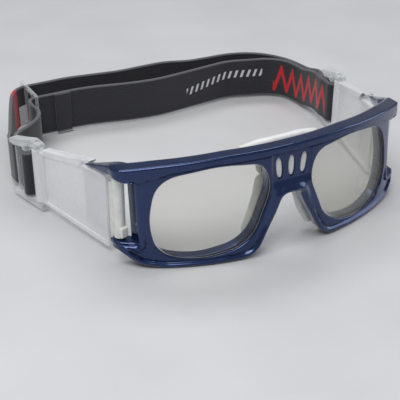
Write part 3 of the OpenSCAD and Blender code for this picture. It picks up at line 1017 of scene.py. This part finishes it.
def buckle(side):
    """Clear ladder buckle: upper arch, lower rail, two bars with ball ends, and its pin."""
    name = SIDES[side]
    half = 2.4
    upper = rounded([(-3.4, 33.3, 0.6), (-3.2, 36, 4), (3, 37, 3), (9, 35.2, 3), (21.6, 31.8, 2),
                     (21.6, 29.3, 1), (14, 30, 3), (8.5, 30.6, 2), (5, 33.3, 0.8)], 7)
    lower = rounded([(-3.4, 1, 1), (-3.4, 4.6, 0.5), (5, 4.8, 1), (9, 3.9, 2), (22.4, 4.4, 1), (22.4, 2, 1),
                     (16, 1, 1)], 6)
    body, *parts = [arm_slab("rail", rail + (ARM_LEN, 0), -half, half, side, 0.7, 4)
                    for rail in (upper, lower)]
    for y, r in ((BAR_NEAR, BAR_NEAR_R), (BAR_FAR, BAR_FAR_R)):
        bar = [(0.9, 1.6), (1.4, 2.1), (2.0, 3.4), (r + 0.3, 4.3), (r, 4.9), (r, 28.4), (r + 0.3, 28.8),
               (2.3, 29.4), (2.45, 30.4), (2.2, 31.8), (1.5, 32.7), (0.7, 33)]
        parts.append(arm_piece("bar", turned(smoothed(bar, 3), (0, ARM_LEN + y), 28), side))
    combined(body, parts, "UNION")
    combined(body, [bore(BUCKLE_PIN_R + 0.02, 0, 60, ARM_LEN, side)])
    softened(body, 0.15)
    body.name = name + "_buckle_ladder"
    finished(body, "buckle", name + "_buckle", "buckle", name + "_buckle")
    rod = turned(rounded_rod(BUCKLE_PIN_R, 1.2, 36.2, 0.35), (0, ARM_LEN))
    pin = arm_piece(name + "_buckle_rod", rod, side)
    finished(pin, "buckle", name + "_buckle", "buckle", name + "_buckle_pin")


# ---------- strap ----------

def webbing_section():
    """Closed section of the webbing: (across, up), with a rolled edge at the top and the bottom."""
    heights = [0.05, 0.3, 0.7, 1.15, 1.5, 1.9, 2.4]
    heights = heights + list(np.linspace(3.2, STRAP_H - 3.2, 12)) + [STRAP_H - h for h in reversed(heights)]
    half = []
    for h in heights:
        edge = min(h, STRAP_H - h)
        swell = 0.86 * sqrt(max(0.0, 1 - max(0.0, (0.95 - edge) / 0.95) ** 2)) - 0.18 * ease(edge, 1.0, 1.9)
        half.append((swell + 0.07 * ease(edge, 1.9, 3.0), h))
    right = [(w * STRAP_T / 1.5, h) for w, h in half]
    return np.array([(0, 0)] + right + [(0, STRAP_H)] + [(-w, h) for w, h in reversed(right)])


def keep_lay(mesh, values):
    """Stores for each point its place along and up the webbing, and 1 on the side that faces the wearer."""
    attribute = mesh.attributes.new("lay", "FLOAT_VECTOR", "POINT")
    attribute.data.foreach_set("vector", np.asarray(values, np.float32).ravel())


def ribbon(name, route, start, end, count=1, origin=0):
    """Webbing along a route from length start to length end; it climbs to the buckles.

    The place along it counts up from origin, or down where count is -1.
    """
    line = at_lengths(route, np.linspace(start, end, max(3, round((end - start) / 1.2) + 1)))
    along = np.linspace(start, end, len(line))
    tangent = np.gradient(at_lengths(route, np.clip(along, 0, lengths_along(route)[-1])), axis=0)
    tangent /= np.linalg.norm(tangent, axis=1)[:, None]
    across = np.column_stack((-tangent[:, 1], tangent[:, 0]))
    section = webbing_section()
    rings, lay = [], []
    for i in range(len(line)):
        lift = (TURN_Z - STRAP_Z) * ease(line[i, 1], 128, 109)
        ring = np.column_stack((line[i] + section[:, :1] * across[i], STRAP_Z + section[:, 1] + lift))
        rings.append(ring)
        lay.append(np.column_stack((np.full(len(section), origin + count * along[i]), section[:, 1],
                                    section[:, 0] * count > -0.05)))
    points, faces = lofted(rings)
    mesh = bpy.data.meshes.new(name)
    mesh.from_pydata(place(points).tolist(), [], faces)
    keep_lay(mesh, np.vstack(lay))
    obj = linked(name, mesh)
    work = bmesh.new()
    work.from_mesh(mesh)
    bmesh.ops.recalc_face_normals(work, faces=work.faces)
    work.to_mesh(mesh)
    work.free()
    shade(obj, 50)
    return obj


def turn_route(side):
    """In along the inside of a buckle, round its near bar, and out between the first leg and the rear bar."""
    radius = BAR_NEAR_R + 0.15 + STRAP_T / 2
    leg = -(BAR_FAR_R + 0.2 + STRAP_T / 2)
    turn = np.radians(np.arange(180, 390, 14))
    bend = [(radius * cos(t), BAR_NEAR + radius * sin(t)) for t in turn]
    line = [(leg - 1.85, 23.4), (leg - 1.75, 20.5), (leg - 1.7, 18), (-3.2, 15), (-2.6, 12), *bend,
            (0.9, 12.7), (-0.3, 14.8), (-1.45, 16.6), (leg, 18.4), (leg + 0.1, 20.5), (leg + 0.7, 23.4)]
    return arm_point([(x, ARM_LEN + y, 0) for x, y in line], side)[:, :2]


def strap():
    """The runs behind the head, their parts beside the arms, and the turn round each buckle."""
    outer, inner = smoothed(OUTER_ROUTE, 8), smoothed(INNER_ROUTE, 8)
    total_outer, total_inner = lengths_along(outer)[-1], lengths_along(inner)[-1]
    near = 7                        # length of the runs that goes with the turn round the buckle
    right_outer, left_outer = 84, total_outer - 57
    right_inner, left_inner = 80, total_inner - 61
    back = [ribbon("strap_outer_back", outer, right_outer, left_outer),
            ribbon("strap_inner_back", inner, right_inner, left_inner)]
    finished(back[0], "outer", "root", "webbing", "strap_outer_run")
    finished(back[1], "inner", "root", "webbing", "strap_inner_run")
    for name, paint, route, start, end in (("right", "outer", outer, near, right_outer),
                                           ("right", "inner", inner, near, right_inner),
                                           ("left", "outer", outer, left_outer, total_outer - near),
                                           ("left", "inner", inner, left_inner, total_inner - near)):
        piece = finished(ribbon("strap_" + name + "_" + paint, route, start, end), paint, None, "webbing")
        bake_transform(piece)
    for side, name in SIDES.items():
        inwards, outwards = (route[::side] for route in (inner, outer))
        route = np.vstack((at_lengths(inwards, np.linspace(near, 0, 5)), turn_route(side),
                           at_lengths(outwards, np.linspace(0, near, 5))))
        route = smoothed(resampled(route, 1.1), 2)
        loop = ribbon("strap_" + name + "_turn", route, 0, lengths_along(route)[-1], -1, near)
        finished(loop, "inner" if side > 0 else "webbing", None, "webbing", name + "_strap_loop")
        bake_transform(loop)


def sewn_end():
    """The folded end of the webbing, sewn flat on the inner run."""
    t = STRAP_T - 0.3
    outline = rectangle(-50.5, STRAP_Z, -41.5, STRAP_Z + STRAP_H, 0, 1)
    points, faces = slab(outline, 0, t, 0.4, 3)
    y = INNER_Y - STRAP_T / 2 - t - 0.1
    obj = make("strap_folded_end", np.column_stack((points[:, 0], y + points[:, 2], points[:, 1])), faces)
    place_of = np.array([v.co for v in obj.data.vertices]) / MM
    keep_lay(obj.data, np.column_stack((place_of[:, 0], place_of[:, 2] - STRAP_Z, np.zeros(len(place_of)))))
    return finished(obj, "webbing", "root", "webbing", "strap_sewn_end")


# ---------- slider ----------

def slider():
    """Clear slider with a slot for each run and a window between them."""
    x, y0, y1, top = -61, INNER_Y - 2.6, BACK_Y, STRAP_Z + STRAP_H + 1.3
    outline = rounded([(y0, 0, 1.2), (y1, 0, 1.2), (y1, top, 1.8), (y0, top, 1.8)], 6)

    def plate(name, shape, a, b, edge):
        points, faces = slab(shape, a, b, edge, 3)
        return make(name, points[:, [2, 0, 1]], faces)

    body = plate("slider", outline, x - 0.9, x + 0.9, 0.6)
    cutters = []
    low, high = STRAP_Z - 0.2, STRAP_Z + STRAP_H + 0.2
    for y in (INNER_Y, OUTER_Y):
        hole = rectangle(y - 1.3, low, y + 1.3, high, 0.5, 4)
        cutters.append(plate("slot", hole, x - 3, x + 3, 0.05))
    window = rectangle(y0 + 7.5, 4, y0 + 18, 24, 2, 6)
    cutters.append(plate("window", window, x - 3, x + 3, 0.05))
    combined(body, cutters)
    softened(body, 0.2)
    body.name = "strap_slider_clear"
    return finished(body, "slider", "slider", "buckle", "strap_slider")


# ---------- scene ----------

set_camera()
set_lights()
set_floor()
front_frame()
for side in SIDES:
    lens(side)
    hinge_tongue(side)
    arm_shell(side)
    buckle(side)
nose_cushion()
strap()
sewn_end()
slider()
for name in ("right_hinge_pin", "left_hinge_pin"):
    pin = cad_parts[name]
    pin.data.materials.clear()
    pin.data.materials.append(PAINTS["steel"])
